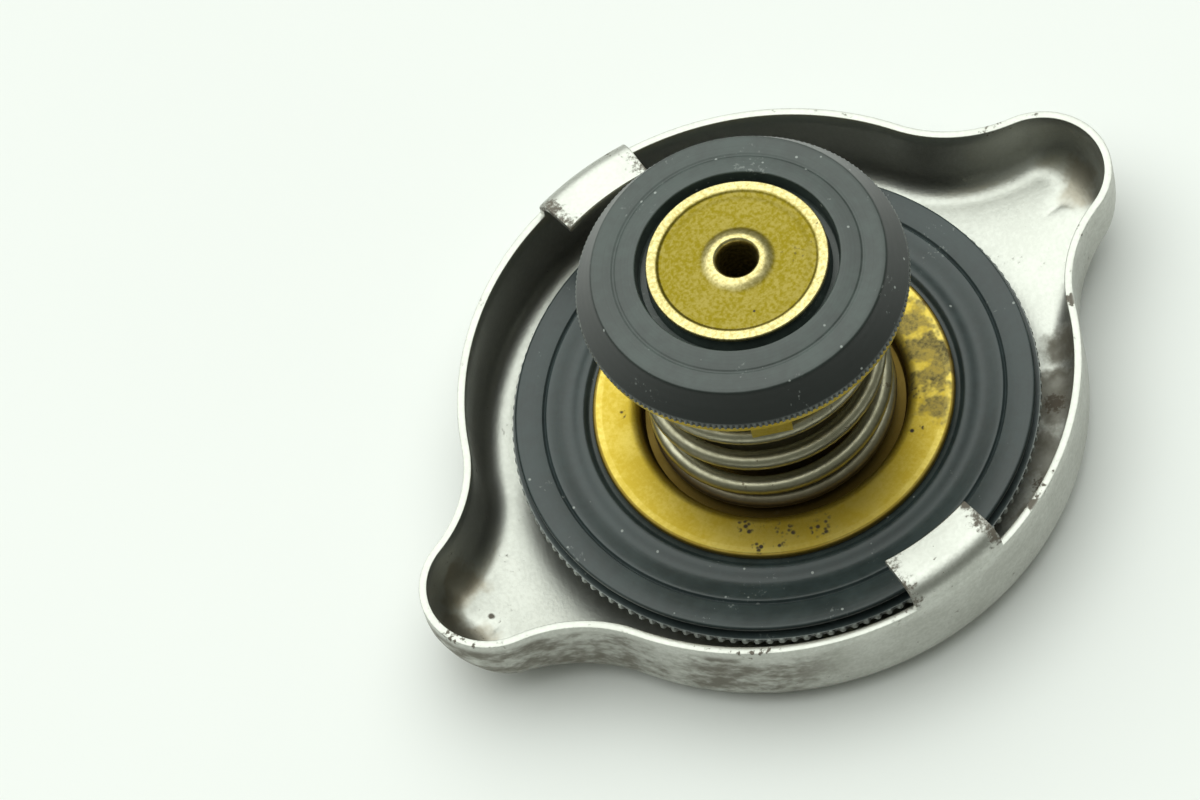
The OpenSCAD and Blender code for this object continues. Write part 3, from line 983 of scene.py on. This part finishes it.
class Palette:
    """The cap's materials, each built once."""

    def __init__(self, effects: Effects) -> None:
        """Builds the materials with the stains where the cap has them, and with painted shade and painted
        highlights.

        Args:
            effects: the shared node groups.
        """
        self.zinc = ZincFinish(
            spots=(Spot(-37.0, 27.4, 1.0, 1.2, 0.6, 2400.0), Spot(-57.0, 27.6, 1.0, 1.1, 0.6, 2400.0),
                   Spot(-34.0, 30.3, 9.2, 0.9, 0.9, 2400.0), Spot(-70.0, 30.7, 10.7, 0.9, 0.9, 2400.0),
                   Spot(-26.0, 30.7, 10.7, 0.7, 0.9, 2400.0), Spot(-8.0, 30.7, 10.7, 0.8, 0.9, 2400.0),
                   Spot(178.0, 35.3, 2.9, 0.4, 0.4), Spot(153.8, 30.4, 6.8, 0.5, 0.4),
                   Spot(-79.5, 26.3, 13.3, 0.7, 0.5, 1800.0)),
            films=(Spot(-25.0, 28.8, 2.2, 2.6, 0.25, 700.0), Spot(-36.0, 28.4, 2.2, 4.6, 0.25, 700.0),
                   Spot(-50.0, 28.4, 2.2, 5.0, 0.25, 700.0), Spot(-64.0, 28.6, 3.0, 4.8, 0.25, 700.0),
                   Spot(-21.0, 30.2, 8.0, 1.8, 0.35, 700.0)),
            tints=(Spot(180.0, 39.0, 4.2, 3.6, 0.5, 300.0), Spot(170.0, 36.5, 3.6, 3.0, 0.5, 300.0),
                   Spot(0.0, 39.0, 4.2, 3.0, 0.5, 300.0))).material(effects)
        # Holder: painted dark brown shade low in the spring cup.
        self.holder_brass = BrassFinish(
            "holder_brass_satin", bright_rough=0.42, tarnish_rough=0.5, rubbed_and_lit_bands=((17.5, 0.5),),
            polish_floor=0.5, cup_shade_z=(5.65, 6.4), brown_edge=18.0,
            # Stains on the flange's right side, also painting the shade that falls there.
            stains_and_shade=(Spot(-8.0, 14.9, 6.8, 2.2, 0.9, 420.0), Spot(-22.0, 15.6, 6.8, 2.6, 0.9, 420.0),
                    Spot(-34.0, 16.4, 6.8, 2.8, 0.9, 420.0), Spot(-47.0, 16.6, 6.8, 1.9, 0.9, 420.0)),
            clusters=(Spot(-138.4, 15.1, 6.8, 1.0, 0.5), Spot(-124.1, 15.7, 6.8, 1.4, 0.5),
                      Spot(-110.2, 15.8, 6.8, 1.5, 0.5), Spot(-132.9, 17.2, 6.8, 0.7, 0.5),
                      Spot(-126.0, 17.0, 6.8, 0.6, 0.5), Spot(145.9, 15.2, 6.8, 0.5, 0.5),
                      Spot(-56.9, 15.0, 6.8, 0.8, 0.6), Spot(-41.2, 13.9, 6.8, 0.8, 0.6))).material(effects)
        self.disc_brass = BrassFinish(
            "valve_brass_bright", bright=(0.72, 0.62, 0.30), tarnish=(0.195, 0.15, 0.010), polish_floor=0.08,
            mark_share=0.06, mottle_share=0.1, grain=0.75, bright_rough=0.28, tarnish_rough=0.33,
            # The rim ring is polish; the boss ring is a painted highlight on its raised crater.
            rubbed_and_lit_bands=((8.55, 0.8), (2.4, 1.3)),
            pits=(Spot(-112.0, 6.1, 33.0, 0.16, 0.2),)).material(effects)
        self.gasket_rubber = RubberFinish("gasket_rubber_satin").material(effects)
        self.seal_rubber = RubberFinish(
            "seal_rubber_bloomed", black=(0.008, 0.011, 0.010), bloom=(0.048, 0.068, 0.061),
            # The seal's bloom ends at the bevel: painted light on the top face, painted shade on the bevel.
            bloom_level=0.75, sheen=0.7, ring_density=3400.0, ring_share=0.4, bloom_and_top_light_end=(14.55, 14.25),
            tip_r=(16.13, 16.33), tip_dust=0.4, fleck_share=0.5).material(effects)
        # The spring wire turns brown low in the cup: painted shade and brass reflection.
        self.wire = SteelFinish("spring_wire", foot_shade_z=(6.6, 8.2)).material(effects)
        self.plain_steel = SteelFinish("plain_sheet_steel").material(effects)


def dress(obj: bpy.types.Object, material: bpy.types.Material) -> None:
    """Gives a piece or CAD node one material on its object's slots.

    Args:
        obj: the piece or node.
        material: its material.
    """
    if not obj.material_slots:
        obj.data.materials.append(material)
    for slot in obj.material_slots:
        slot.link = "OBJECT"
        slot.material = material


def dress_nodes(material: bpy.types.Material, *names: str) -> None:
    """Gives CAD nodes that stay as packed one material.

    Args:
        material: the material.
        names: the nodes.
    """
    for name in names:
        dress(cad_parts[name], material)
        log.info("%s dressed", name)


def settle(obj: bpy.types.Object, body: Body, slot: Slot, *nodes: str) -> None:
    """Sets a new piece on its body in place of its CAD nodes.

    Args:
        obj: the finished piece.
        body: the body it rides on.
        slot: not used.
        nodes: the CAD nodes it stands for.
    """
    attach(obj, body.value)
    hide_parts(*nodes)
    log.info("%s: %d faces on %s", obj.name, len(obj.data.polygons), body.value)


# Sub-assemblies


@dataclass
class CapShell:
    """The pressed shell with its ears and lock tabs; sizes in millimetres."""

    skirt_r: float = 31.1
    ear_x: float = 34.5
    ear_r: float = 7.3
    blend_r: float = 14.2
    sheet: float = 0.8
    rim_h: float = 10.7
    edge_r: float = 3.5
    ear_edge_r: float = 6.8
    ear_nose: float = 4.8
    climb_start: float = 23.5
    climb_curve: float = 1.4
    ear_rise: float = 1.9
    seat_r: float = 11.2
    seat_slope: float = 3.0
    seat_h: float = 2.9
    hole_r: float = 2.65
    tab_w: float = 10.8
    tab_end_w: float = 10.0
    tab_reach: float = 25.9
    tab_rise: float = 2.6
    tab_bend: float = 2.2
    ear_steps: int = 22
    blend_steps: int = 18
    skirt_steps: int = 40
    floor_steps: int = 7
    bend_steps: int = 10

    def outline(self) -> list[Point3]:
        """The outer outline by tangent arcs.

        Returns:
            Stations of x, y and outward bearing in radians.
        """
        d1, d2 = self.skirt_r + self.blend_r, self.ear_r + self.blend_r
        bx = (d1 * d1 - d2 * d2 + self.ear_x ** 2) / (2.0 * self.ear_x)
        by = math.sqrt(d1 * d1 - bx * bx)
        ear_turn, skirt_turn = math.atan2(by, bx - self.ear_x), math.atan2(by, bx)
        quarter = []
        for i in range(self.ear_steps):
            a = ear_turn * i / self.ear_steps
            quarter.append((self.ear_x + self.ear_r * math.cos(a), self.ear_r * math.sin(a), a))
        for i in range(self.blend_steps):
            a = ear_turn + (skirt_turn - ear_turn) * i / self.blend_steps
            quarter.append((bx - self.blend_r * math.cos(a), by - self.blend_r * math.sin(a), a))
        for i in range(self.skirt_steps):
            a = skirt_turn + (math.pi / 2 - skirt_turn) * i / self.skirt_steps
            quarter.append((self.skirt_r * math.cos(a), self.skirt_r * math.sin(a), a))
        back = [(-x, y, math.pi - a) for x, y, a in reversed(quarter[1:])]
        half = quarter + [(0.0, self.skirt_r, math.pi / 2)] + back
        return half + [(-x, -y, a + math.pi) for x, y, a in half]

    def bend_at(self, x: float) -> float:
        """Radius of the lower bend at an outline point, opening out along an ear's nose."""
        share = max(0.0, 1.0 - (self.ear_x + self.ear_r - abs(x)) / self.ear_nose)
        return self.edge_r + (self.ear_edge_r - self.edge_r) * share ** 2

    def floor_at(self, x: float) -> float:
        """Height of the floor's underside, climbing along the ears."""
        share = max(0.0, abs(x) - self.climb_start) / (self.ear_x - self.climb_start)
        return self.ear_rise * share ** self.climb_curve

    def skin(self, stations: Sequence[Point3], s: float) -> list[list[Point3]]:
        """Rings of one face of the sheet, from the seat's edge up to the skirt's foot.

        Args:
            stations: the outline.
            s: depth below the outer face, 0 or the sheet's thickness.

        Returns:
            Rings of points in millimetres.
        """
        bends = [self.bend_at(x) for x, _, _ in stations]
        feet = [(x - b * math.cos(a), y - b * math.sin(a)) for (x, y, a), b in zip(stations, bends)]
        bearings = [math.atan2(y, x) for x, y in feet]

        def circle(r: float, z: float) -> list[Point3]:
            """A level circle with a point for each station."""
            return [(r * math.cos(a), r * math.sin(a), z) for a in bearings]

        top, lean = self.seat_r + 0.4 * s, self.seat_slope
        floor_r = self.skirt_r - self.edge_r - 2.5
        rings = [circle(r, z) for r, z in eased([(top - 0.5, self.seat_h + s), (top + lean + 0.5, s)], 8)]
        rings.append(circle(top + 0.35 * (floor_r - top) + 2.0, s))
        for k in range(self.floor_steps, -1, -1):
            ring = []
            for (x, y), a in zip(feet, bearings):
                fx = x + (floor_r * math.cos(a) - x) * k / self.floor_steps
                fy = y + (floor_r * math.sin(a) - y) * k / self.floor_steps
                ring.append((fx, fy, s + self.floor_at(fx)))
            rings.append(ring)
        for k in range(self.bend_steps - 1, -1, -1):
            t = math.pi / 2 * k / self.bend_steps
            ring = []
            for (x, y, a), b, (fx, _) in zip(stations, bends, feet):
                d = b - (b - s) * math.cos(t)
                z = self.floor_at(fx) + b - (b - s) * math.sin(t)
                ring.append((x - d * math.cos(a), y - d * math.sin(a), z))
            rings.append(ring)
        return rings

    def rings(self) -> list[list[Point3]]:
        """All rings of the sheet.

        Returns:
            Rings from the hole outside, over the rim, to the hole inside.
        """
        stations = self.outline()
        outer, inner = self.skin(stations, 0.0), self.skin(stations, self.sheet)

        def rim(d: float, z: float) -> list[Point3]:
            """The outline drawn in by d, at height z."""
            return [(x - d * math.cos(a), y - d * math.sin(a), z) for x, y, a in stations]

        def hole(ring: Sequence[Point3], z: float) -> list[Point3]:
            """The rivet hole with a point for each of a ring's."""
            return [(self.hole_r * math.cos(a), self.hole_r * math.sin(a), z)
                    for a in (math.atan2(y, x) for x, y, _ in ring)]

        t, h = self.sheet, self.rim_h
        lip = [rim(d, z) for d, z in (
            (0.0, h - 1.9), (0.0, h - 0.09), (0.03, h - 0.03), (0.09, h),
            (t - 0.08, h), (t - 0.03, h - 0.03), (t, h - 0.08), (t, h - 1.9))]
        mouth, throat = hole(outer[0], self.seat_h), hole(inner[0], self.seat_h + t)
        return [mouth] + outer + lip + inner[::-1] + [throat]

    def build_sheet(self) -> bpy.types.Object:
        """Raises the sheet ring by ring from a circle at the rivet hole.

        Returns:
            The sheet without its tabs.
        """
        rings = self.rings()
        Workshop.clear_selection()
        bpy.ops.mesh.primitive_circle_add(vertices=len(rings[0]), radius=self.hole_r * MM)
        obj = bpy.context.object
        obj.name = obj.data.name = "shell_pressing"
        bpy.ops.object.mode_set(mode="EDIT")
        mesh = bmesh.from_edit_mesh(obj.data)
        row = list(mesh.verts)
        for corner, place in zip(row, rings[0]):
            corner.co = Vector(place) * MM
        for ring in rings[1:] + rings[:1]:
            order = {tuple(c.co): i for i, c in enumerate(row)}
            bpy.ops.mesh.extrude_edges_move()
            mesh = bmesh.from_edit_mesh(obj.data)
            row = sorted((c for c in mesh.verts if c.select), key=lambda c: order[tuple(c.co)])
            for corner, place in zip(row, ring):
                corner.co = Vector(place) * MM
        bmesh.update_edit_mesh(obj.data)
        Workshop.weld()
        return obj

    def build_tab(self, side: float) -> bpy.types.Object:
        """Bends one lock tab from a strip.

        Args:
            side: 1 for the +Y tab, -1 for the -Y tab.

        Returns:
            The tab, its foot inside the sheet.
        """
        grip, half_turn = 0.03, math.radians(15.0)
        r_out, r_in = self.skirt_r - grip, self.skirt_r - self.sheet + grip
        t, top, foot = r_out - r_in, self.rim_h + self.tab_rise, self.rim_h - 1.0
        c, cz = r_out - self.tab_bend, top - self.tab_bend
        profile = [(r_out, foot)] + arc(c, cz, self.tab_bend, 0, 90, 10)
        profile += [(self.tab_reach + 0.12, top), (self.tab_reach, top - 0.12)]
        profile += [(self.tab_reach, top - t + 0.1), (self.tab_reach + 0.1, top - t)]
        profile += arc(c, cz, self.tab_bend - t, 90, 0, 10) + [(r_in, foot)]
        start = side * math.pi / 2 + half_turn
        taper = (self.tab_w - self.tab_end_w) / 2.0 / (self.skirt_r - self.tab_reach)
        line = [(r * math.cos(start), r * math.sin(start), z) for r, z in profile]
        obj = Workshop.draw_line("lock_tab", line + line[:1])
        bpy.ops.mesh.select_all(action="SELECT")
        bpy.ops.mesh.spin(steps=28, angle=2.0 * half_turn, center=(0, 0, 0), axis=(0, 0, 1))
        for end in (-1.0, 1.0):
            place = Vector((end * self.tab_w / 2, side * self.skirt_r, 0.0)) * MM
            bpy.ops.mesh.select_all(action="SELECT")
            bpy.ops.mesh.bisect(plane_co=place, plane_no=(end, -side * taper, 0.0),
                                use_fill=True, clear_outer=True)
        Workshop.weld()
        Workshop.apply(obj, "BEVEL", width=0.12 * MM, segments=2, limit_method="ANGLE",
                       angle_limit=math.radians(50))
        return obj

    def build(self) -> bpy.types.Object:
        """Joins sheet and tabs into the one pressing.

        Returns:
            The finished shell.
        """
        obj = self.build_sheet()
        for side in (1.0, -1.0):
            tab = self.build_tab(side)
            Workshop.apply(obj, "BOOLEAN", operation="UNION", solver="MANIFOLD", object=tab)
            bpy.data.objects.remove(tab)
        Workshop.smooth(obj, 32.0)
        return obj

    def assemble(self, palette: Palette) -> None:
        """Builds, dresses and sets the pressing.

        Args:
            palette: the cap's materials.
        """
        obj = self.build()
        dress(obj, palette.zinc)
        settle(obj, Body.SHELL, Slot.SHELL_ZINC, "cap_shell")


@dataclass
class SwivelCore:
    """Gasket, brass holder and main spring; sizes in millimetres."""

    gasket_foot: float = 4.1
    gasket_r: float = 26.0
    flange_r: float = 26.5
    flange_h: float = 0.8
    face_z: float = 6.4
    band_r: float = 23.3
    clamp_r: float = 18.35
    clamp_z: float = 6.0
    bore_r: float = 14.3
    teeth: int = 136
    tooth_depth: float = 0.3
    holder_r: float = 18.15
    holder_t: float = 0.8
    flange_z: float = 6.8
    cup_z: float = 4.9
    cup_r: float = 13.3
    rivet_r: float = 2.6
    spring_r: float = 11.45
    wire_r: float = 0.95
    spring_len: float = 22.7
    active_turns: float = 3.3
    end_turns: float = 1.1
    spring_turn: float = 120.0
    travel: float = 4.0

    def build_gasket(self) -> bpy.types.Object:
        """Turns the neck gasket and cuts its toothed flange.

        Returns:
            The gasket.
        """
        foot, face, top = self.gasket_foot, self.face_z, self.gasket_foot + self.flange_h
        neck = self.gasket_r - 0.7
        profile = [(self.bore_r, foot), (self.flange_r - 0.5, foot), (self.flange_r, foot + 0.08)]
        profile += [(self.flange_r, top - 0.08), (self.flange_r - 0.1, top), (neck + 0.1, top)]
        profile += [(neck, top + 0.1), (neck, top + 0.25)]
        profile += [(self.gasket_r - 0.06, face - 0.62), (self.gasket_r, face - 0.5)]
        profile += arc(self.gasket_r - 0.28, face - 0.28, 0.28, 0, 90, 4)
        profile += [(self.band_r + 1.4, face - 0.06)]
        profile += eased([(self.band_r, face - 0.12), (self.band_r - 0.25, face - 0.4),
                          (self.band_r - 0.5, face - 0.1), ((self.band_r + self.clamp_r) / 2, face - 0.45),
                          (self.clamp_r + 0.8, face + 0.1), (self.clamp_r + 0.15, self.clamp_z)], 7)
        profile += [(self.bore_r, self.clamp_z)]
        obj = Workshop.spun("gasket_ring", profile, self.teeth * 4)
        Workshop.cut_teeth(obj, self.flange_r, foot + 0.02, top - 0.02, self.teeth, self.tooth_depth)
        Workshop.smooth(obj, 30.0)
        return obj

    def build_holder(self) -> bpy.types.Object:
        """Turns the brass holder with its rolled edge and spring cup.

        Returns:
            The holder.
        """
        r, t, top, cup = self.holder_r, self.holder_t, self.flange_z, self.cup_r
        bend = t + 0.45
        profile = [(self.rivet_r, self.cup_z - t), (cup + t - 0.3, self.cup_z - t)]
        profile += arc(cup + t - 0.3, self.cup_z - t + 0.3, 0.3, -90, 0, 3)[1:]
        profile += [(cup + t, top - t), (r - 0.12, top - t)]
        profile += arc(r - 0.34, top - 0.34, 0.34, 0, 90, 5)
        profile += arc(cup + bend, top - bend, bend, 90, 180, 9)
        profile += [(cup, self.cup_z + 0.25), (cup - 0.25, self.cup_z), (self.rivet_r, self.cup_z)]
        obj = Workshop.spun("holder_pressing", profile, 160)
        Workshop.smooth(obj, 35.0)
        return obj

    def build_spring(self) -> bpy.types.Object:
        """Winds the main spring with its closed ends.

        Returns:
            The spring.
        """
        path = coil(self.spring_r, self.wire_r, self.cup_z, self.spring_len, self.active_turns,
                    self.end_turns, self.spring_turn)
        obj = Workshop.wire("main_spring", path, self.wire_r, 20)
        Workshop.smooth(obj, 50.0)
        return obj

    def assemble(self, palette: Palette) -> None:
        """Builds, dresses and sets gasket, holder and spring.

        Args:
            palette: the cap's materials.
        """
        gasket, holder, spring = self.build_gasket(), self.build_holder(), self.build_spring()
        dress(gasket, palette.gasket_rubber)
        settle(gasket, Body.CORE, Slot.GASKET_RUBBER, "neck_gasket")
        dress(holder, palette.holder_brass)
        settle(holder, Body.CORE, Slot.HOLDER_BRASS, "valve_holder")
        dress(spring, palette.wire)
        settle(spring, Body.CORE, Slot.SPRING_STEEL, "pressure_spring")
        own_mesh(spring)
        dress_nodes(palette.plain_steel, "centre_rivet", "spring_disc", "guide_sleeve")


@dataclass
class PressureValve:
    """The pressure seal on its brass plate; sizes in millimetres."""

    seal_z: float = 28.7
    seal_r: float = 16.35
    edge_h: float = 0.7
    land_z: float = 32.45
    land_r: float = 14.45
    ring_r: float = 12.1
    ring_h: float = 0.5
    recess_r: float = 10.0
    floor_z: float = 31.1
    lip_r: float = 8.6
    lip_w: float = 0.55
    lip_z: float = 32.6
    bore_r: float = 6.9
    teeth: int = 180
    tooth_depth: float = 0.16

    def build_seal(self) -> bpy.types.Object:
        """Turns the rubber seal and cuts its toothed edge.

        Returns:
            The seal.
        """
        r, foot, land, land_z = self.seal_r, self.seal_z, self.land_r, self.land_z
        edge, ring_z, lip_in = foot + self.edge_h, land_z + self.ring_h, self.lip_r - self.lip_w
        profile = [(self.bore_r, foot), (r - 0.2, foot), (r, foot + 0.05)]
        profile += [(r, edge - 0.12), (r - 0.1, edge - 0.02), (r - 0.22, edge + 0.12)]
        profile += [(land + 0.12, land_z - 0.3), (land - 0.02, land_z - 0.09)]
        profile += [(land - 0.16, land_z - 0.01), (land - 0.5, land_z)]
        profile += eased([(self.ring_r + 0.4, land_z + 0.1), (self.ring_r + 0.1, land_z),
                          (self.ring_r - 0.2, land_z + 0.14)], 4)
        profile += [(self.ring_r - 1.1, ring_z - 0.16), (self.recess_r + 0.3, ring_z)]
        profile += arc(self.recess_r + 0.18, ring_z - 0.18, 0.18, 90, 180, 4)
        profile += [(self.recess_r - 0.13, self.floor_z + 0.15), (self.recess_r - 0.3, self.floor_z)]
        profile += [(self.lip_r + 0.5, self.floor_z), (self.lip_r, self.lip_z), (lip_in, self.lip_z)]
        profile += [(lip_in - 0.4, self.floor_z), (self.bore_r, self.floor_z)]
        obj = Workshop.spun("seal_ring", profile, self.teeth * 4)
        Workshop.cut_teeth(obj, r, foot + 0.02, edge - 0.1, self.teeth, self.tooth_depth)
        Workshop.smooth(obj, 30.0)
        return obj

    def assemble(self, palette: Palette) -> None:
        """Builds, dresses and sets the seal, and dresses plate and guide.

        Args:
            palette: the cap's materials.
        """
        seal = self.build_seal()
        dress(seal, palette.seal_rubber)
        settle(seal, Body.PRESSURE, Slot.SEAL_RUBBER, "pressure_seal")
        dress_nodes(palette.holder_brass, "valve_plate")
        dress_nodes(palette.plain_steel, "valve_guide")


@dataclass
class VacuumValve:
    """The brass vacuum valve with its drawn stem and light spring; sizes in millimetres."""

    disc_r: float = 8.95
    rim_in: float = 8.05
    rim_z: float = 32.6
    t: float = 0.5
    groove: float = 0.35
    boss: float = 0.4
    stem_ri: float = 1.9
    keeper_z: float = 22.0
    keeper_t: float = 0.5
    spring_r: float = 3.84
    wire_r: float = 0.3
    spring_len: float = 5.6
    active_turns: float = 3.5
    end_turns: float = 0.75
    travel: float = 2.0

    def build_disc(self) -> bpy.types.Object:
        """Turns the disc, its boss and its hollow stem in one.

        Returns:
            The valve.
        """
        t, z, ri = self.t, self.rim_z, self.stem_ri
        ro, end = ri + t, self.keeper_z - 0.4
        dip = z - self.groove + self.groove * 0.4
        web = eased([(self.rim_in, z), (self.rim_in - 0.5, dip), (self.rim_in - 1.5, z - 0.05),
                     (ro + 1.6, dip), (ro, z + self.boss)], 10)
        mouth = [(ro - t * math.cos(a), z + self.boss + t * (2.0 * math.sin(a) - 1.0))
                 for a in (math.pi / 2 * i / 9 for i in range(10))]
        profile = [(self.disc_r - 0.1, z)] + web + [(ro, self.keeper_z), (ro + 0.5, self.keeper_z)]
        profile += [(ro + 0.5, end), (ri, end)] + mouth + [(r, h + t) for r, h in web[-2::-1]]
        profile += [(self.disc_r - 0.35, z + t)] + arc(self.disc_r - 0.2, z + t - 0.2, 0.2, 90, 0, 5)
        profile += [(self.disc_r, z + 0.1)]
        obj = Workshop.spun("vacuum_disc", profile, 160)
        Workshop.smooth(obj, 40.0)
        return obj

    def build_spring(self) -> bpy.types.Object:
        """Winds the light spring under the valve plate.

        Returns:
            The spring.
        """
        path = coil(self.spring_r, self.wire_r, self.keeper_z + self.keeper_t, self.spring_len,
                    self.active_turns, self.end_turns, 0.0)
        obj = Workshop.wire("vacuum_coil", path, self.wire_r, 12)
        Workshop.smooth(obj, 50.0)
        return obj

    def assemble(self, palette: Palette) -> None:
        """Builds, dresses and sets disc and spring, and dresses the keeper.

        Args:
            palette: the cap's materials.
        """
        disc, spring = self.build_disc(), self.build_spring()
        dress(disc, palette.disc_brass)
        settle(disc, Body.VACUUM, Slot.VALVE_BRASS, "vacuum_valve")
        dress(spring, palette.wire)
        settle(spring, Body.PRESSURE, Slot.SPRING_STEEL, "vacuum_spring")
        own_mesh(spring)
        dress_nodes(palette.plain_steel, "spring_keeper")


@dataclass
class Studio:
    """Pale floor, soft light and the photograph's camera; lengths in metres, angles in degrees."""

    bearing: float = -112.83
    elevation: float = 58.67
    roll: float = -16.87
    distance: float = 0.81852
    pivot_z: float = 0.0068
    shift_right: float = 0.01715
    shift_up: float = 0.00044
    lens: float = 247.96
    sensor: float = 36.0
    floor_size: float = 6.0
    light: Colour = (0.95, 1.0, 0.945)
    dim: Colour = (0.095, 0.102, 0.088)
    sky_strength: float = 2.08
    lobe_bearing: float = 85.0
    lobe_elevation: float = 66.0
    lobe_from: float = 0.52
    lobe_full: float = 0.84

    def camera(self) -> bpy.types.Object:
        """Sets the camera at the photograph's angle.

        Returns:
            The camera.
        """
        az, el, roll = (math.radians(a) for a in (self.bearing, self.elevation, self.roll))
        back = Vector((math.cos(el) * math.cos(az), math.cos(el) * math.sin(az), math.sin(el)))
        level = Vector((-math.sin(az), math.cos(az), 0.0))
        rise = back.cross(level)
        right = math.cos(roll) * level + math.sin(roll) * rise
        up = math.cos(roll) * rise - math.sin(roll) * level
        place = Vector((0.0, 0.0, self.pivot_z)) + self.distance * back
        place -= self.shift_right * right + self.shift_up * up
        Workshop.clear_selection()
        bpy.ops.object.camera_add()
        obj = bpy.context.object
        obj.name = "photo_camera"
        turn = Matrix((right, up, back)).transposed().to_4x4()
        obj.matrix_world = Matrix.Translation(place) @ turn
        obj.data.sensor_fit = "HORIZONTAL"
        obj.data.sensor_width = self.sensor
        obj.data.lens = self.lens
        obj.data.clip_start = 0.01
        obj.data.clip_end = 20.0
        bpy.context.scene.camera = obj
        return obj

    def floor(self) -> bpy.types.Object:
        """Lays the pale floor.

        Returns:
            The floor.
        """
        Workshop.clear_selection()
        bpy.ops.mesh.primitive_plane_add(size=self.floor_size)
        obj = bpy.context.object
        obj.name = "floor"
        mat, g, shader, where = Finish.begin("pale_floor")
        cloud = g.noise(where, 14.0, 3.0, 0.5)
        g.feed(shader.inputs["Base Color"], g.mix(cloud, (0.82, 0.83, 0.82), (0.86, 0.87, 0.86)))
        g.feed(shader.inputs["Roughness"], g.blend(cloud, 0.50, 0.60))
        dress(obj, mat)
        return obj

    def sky(self) -> None:
        """Lights the room: bright overhead and to the back, dim low down."""
        world = bpy.context.scene.world or bpy.data.worlds.new("room")
        bpy.context.scene.world = world
        world.use_nodes = True
        g = Graph(world.node_tree)
        back = world.node_tree.nodes["Background"]
        az, el = math.radians(self.lobe_bearing), math.radians(self.lobe_elevation)
        middle = (math.cos(el) * math.cos(az), math.cos(el) * math.sin(az), math.sin(el))
        near = g.node("ShaderNodeVectorMath", operation="DOT_PRODUCT")
        g.feed(near.inputs[0], g.node("ShaderNodeTexCoord").outputs["Generated"])
        near.inputs[1].default_value = middle
        lobe = g.step(near.outputs["Value"], self.lobe_from, self.lobe_full)
        g.feed(back.inputs["Color"], g.mix(lobe, self.dim, self.light))
        back.inputs["Strength"].default_value = self.sky_strength

    def build(self) -> None:
        """Sets up floor, light and camera."""
        self.floor()
        self.sky()
        self.camera()
        bpy.context.scene.view_settings.view_transform = "Standard"
        log.info("studio set")


def main() -> None:
    """Builds and dresses each sub-assembly in order, then the studio."""
    logging.basicConfig(level=logging.INFO, format="%(name)s: %(message)s")
    palette = Palette(Effects())
    CapShell().assemble(palette)
    SwivelCore().assemble(palette)
    PressureValve().assemble(palette)
    VacuumValve().assemble(palette)
    Studio().build()


if __name__ == "__main__":
    main()
